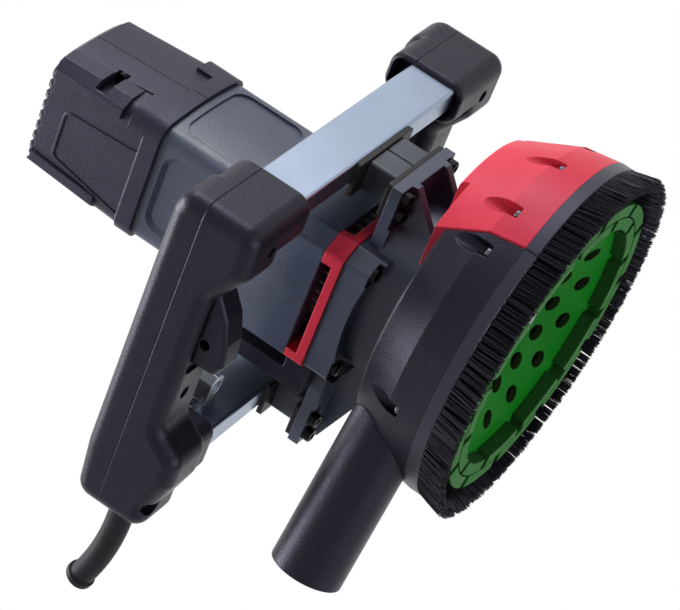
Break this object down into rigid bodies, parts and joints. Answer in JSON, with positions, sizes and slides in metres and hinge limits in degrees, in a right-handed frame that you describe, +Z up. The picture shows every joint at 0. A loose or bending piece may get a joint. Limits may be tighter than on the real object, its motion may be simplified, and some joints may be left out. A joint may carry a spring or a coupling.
{
  "type": "concrete hand grinder",
  "caption": "Two-handed concrete grinder with a motor beside the spindle, cup wheel, brush-skirted dust hood with a removable edge segment, and a tube frame on rubber buffers.",
  "frame": {"origin": "on the spindle axis, in the plane of the bristle tips", "axes": "+Z up the spindle to the motor, +X along the cross tubes from the switch handle to the support handle, +Y to the cable end of the handles"},
  "size_m": [0.272, 0.3321, 0.313],
  "materials": {
    "slate_cover": "fine grain",
    "slate_housing": "satin",
    "black_plastic": "fine grain",
    "red_plastic": "satin",
    "grey_plastic": "plain",
    "zinc": "zinc plated",
    "black_steel": "black",
    "rubber": "matt",
    "steel": "turned",
    "bright_screws": "zinc plated",
    "dark_screws": "blackened",
    "green_paint": "gloss",
    "core_iron": "laminated",
    "copper": "enamelled wire",
    "carbon": "pressed carbon",
    "bristle": "nylon"
  },
  "bodies": {
    "machine": {"rear_cover_left": "slate_cover", "rear_cover_right": "slate_cover", "motor_housing": "slate_housing", "gear_housing": "slate_housing", "dust_hood": "black_plastic", "dust_port": "black_plastic", "switch_handle_wheel_shell": "black_plastic", "switch_handle_motor_shell": "black_plastic", "support_handle_wheel_shell": "black_plastic", "support_handle_motor_shell": "black_plastic", "wiring_duct": "black_plastic", "switch_unit": "black_plastic", "brush_holders": "black_plastic", "cable_clamp": "black_plastic", "fan_ring": "red_plastic", "upper_tube": "zinc", "lower_tube": "zinc", "threaded_block": "zinc", "buffer_plates": "black_steel", "upper_buffer": "rubber", "lower_buffer": "rubber", "cable_sleeve": "rubber", "armature_bearings": "steel", "spindle_bearings": "steel", "trigger_pin": "steel", "hood_screws": "bright_screws", "threaded_block_screw": "bright_screws", "tube_screws": "bright_screws", "arm_bolts": "dark_screws", "handle_screws": "dark_screws", "rear_cover_screws": "dark_screws", "gear_housing_screws": "dark_screws", "field_core": "core_iron", "field_coils": "copper", "carbon_brushes": "carbon", "brush_strip_1": "bristle", "brush_strip_2": "bristle", "brush_strip_3": "bristle", "brush_strip_4": "bristle", "brush_strip_5": "bristle", "brush_strip_6": "bristle"},
    "wheel_spindle": {"spindle": "steel", "drive_gear": "steel", "wheel_flange": "steel", "cup_wheel": "green_paint", "diamond_segments": "green_paint", "wheel_nut": "steel"},
    "armature": {"armature_shaft": "steel", "armature_core": "core_iron", "armature_windings": "copper", "commutator": "copper", "cooling_fan": "grey_plastic", "pinion": "steel"},
    "switch_trigger": {"trigger": "black_plastic"},
    "hood_segment": {"edge_segment": "red_plastic", "edge_brush_strip_1": "bristle", "edge_brush_strip_2": "bristle", "edge_segment_screws": "bright_screws"}
  },
  "joints": [
    {"name": "spindle_spin", "type": "hinge", "parent": "machine", "child": "wheel_spindle", "pos_m": [0, 0, 0], "axis": [0, 0, 1], "continuous": true},
    {"name": "armature_spin", "type": "hinge", "parent": "machine", "child": "armature", "pos_m": [0, 0.02625, 0], "axis": [0, 0, 1], "continuous": true},
    {"name": "trigger_press", "type": "hinge", "parent": "machine", "child": "switch_trigger", "pos_m": [-0.118, -0.001, 0.147], "axis": [1, 0, 0], "range_deg": [0, 7], "stiffness_Nm_per_rad": 0.6, "springref_deg": -11.46},
    {"name": "edge_segment_slide", "type": "slide", "parent": "machine", "child": "hood_segment", "axis": [0, -1, 0], "range_m": [0, 0.06]}
  ],
  "couplings": [
    {"joint": "armature_spin", "follows": "spindle_spin", "ratio": -2.5}
  ]
}
